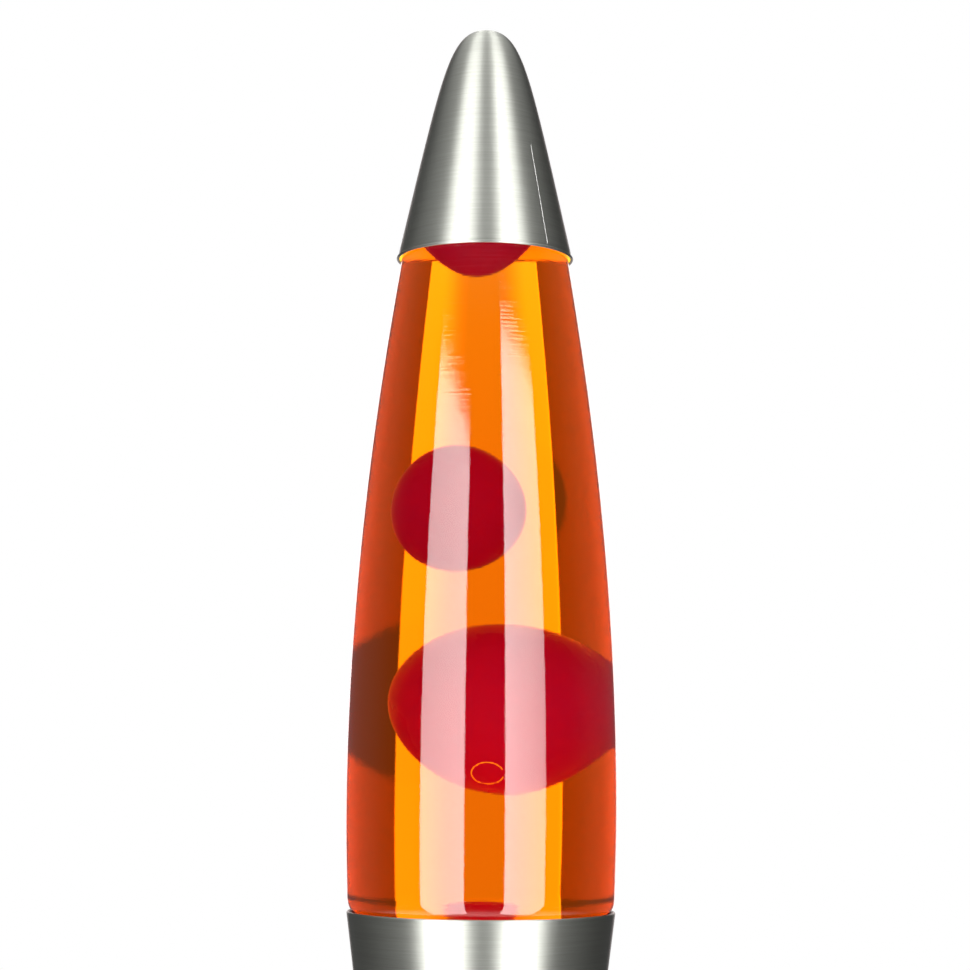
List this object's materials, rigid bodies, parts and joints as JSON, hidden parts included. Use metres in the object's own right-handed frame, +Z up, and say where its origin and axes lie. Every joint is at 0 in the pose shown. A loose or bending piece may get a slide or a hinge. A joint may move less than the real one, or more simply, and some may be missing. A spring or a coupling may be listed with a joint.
{
  "type": "lava lamp",
  "caption": "Rocket-shaped lava lamp: waisted spun metal base, tall tapering glass bottle of liquid with floating wax, and a pointed metal cap.",
  "frame": {"origin": "on the lamp's axis, on the surface that its rubber feet stand on", "axes": "+Z up along the lamp's axis; -Y is the front, the side seen in the picture; +X is to the right of someone facing it; the cord inlet is at the back, +Y"},
  "size_m": [0.107, 0.107, 0.4076],
  "materials": {
    "spun_aluminium": "satin",
    "bottle_glass": "gloss",
    "crown_steel": "satin",
    "liner": "matte",
    "orange_liquid": "gloss",
    "red_wax": "gloss",
    "coil_steel": "satin",
    "seat_plastic": "matte",
    "cover_paint": "satin",
    "black_rubber": "matte",
    "zinc_plate": "satin",
    "phenolic": "satin",
    "holder_brass": "satin",
    "bulb_glass": "gloss",
    "bulb_nickel": "satin",
    "bulb_vitrite": "gloss",
    "bulb_tungsten": "satin",
    "bulb_solder": "satin",
    "screw_steel": "satin"
  },
  "bodies": {
    "base": {"base_shell": "spun_aluminium", "bottle_seat_ring": "seat_plastic", "bottom_cover": "cover_paint", "cover_screw_1": "screw_steel", "cover_screw_2": "screw_steel", "cover_screw_3": "screw_steel", "rubber_foot_1": "black_rubber", "rubber_foot_2": "black_rubber", "rubber_foot_3": "black_rubber", "rubber_foot_4": "black_rubber", "cord_grommet": "black_rubber", "holder_bracket": "zinc_plate", "bracket_screw_left": "screw_steel", "bracket_screw_right": "screw_steel", "earth_screw": "screw_steel", "threaded_nipple": "zinc_plate", "nipple_nut_upper": "zinc_plate", "nipple_nut_lower": "zinc_plate", "lock_washer": "zinc_plate", "lampholder_body": "phenolic", "lampholder_cap": "phenolic", "lampholder_screw_shell": "holder_brass", "lampholder_centre_contact": "holder_brass", "terminal_screw_left": "screw_steel", "terminal_screw_right": "screw_steel"},
    "bottle": {"glass_bottle": "bottle_glass", "crown_cap": "crown_steel", "crown_cap_liner": "liner", "liquid": "orange_liquid", "wax_pool": "red_wax", "wax_coil": "coil_steel"},
    "wax_upper": {"wax_blob_upper": "red_wax"},
    "wax_middle": {"wax_blob_middle": "red_wax"},
    "wax_lower": {"wax_blob_lower": "red_wax"},
    "cap": {"top_cap": "spun_aluminium"},
    "bulb_tip": {"bulb_centre_contact": "bulb_solder"},
    "bulb": {"bulb_envelope": "bulb_glass", "bulb_screw_cap": "bulb_nickel", "bulb_cap_insulator": "bulb_vitrite", "bulb_stem": "bulb_glass", "bulb_lead_left": "bulb_nickel", "bulb_lead_right": "bulb_nickel", "bulb_filament": "bulb_tungsten"}
  },
  "joints": [
    {"name": "bottle_lift", "type": "slide", "parent": "base", "child": "bottle", "axis": [0, 0, 1], "range_m": [0, 0.06]},
    {"name": "cap_lift", "type": "slide", "parent": "bottle", "child": "cap", "axis": [0, 0, 1], "range_m": [0, 0.08]},
    {"name": "wax_upper_drift", "type": "slide", "parent": "bottle", "child": "wax_upper", "axis": [0, 0, 1], "range_m": [-0.0215, 0.0005], "deforming": ["liquid"]},
    {"name": "wax_middle_drift", "type": "slide", "parent": "bottle", "child": "wax_middle", "axis": [0, 0, 1], "range_m": [-0.006, 0.024]},
    {"name": "wax_lower_drift", "type": "slide", "parent": "bottle", "child": "wax_lower", "axis": [0, 0, 1], "range_m": [-0.022, 0.006]},
    {"name": "bulb_rise", "type": "slide", "parent": "base", "child": "bulb_tip", "axis": [0, 0, 1], "range_m": [0, 0.0085]},
    {"name": "bulb_turn", "type": "hinge", "parent": "bulb_tip", "child": "bulb", "pos_m": [0, 0, 0.054], "axis": [0, 0, 1], "range_deg": [0, 1080]}
  ],
  "couplings": [
    {"joint": "bulb_rise", "follows": "bulb_turn", "m_per_rad": 0.00044917}
  ]
}
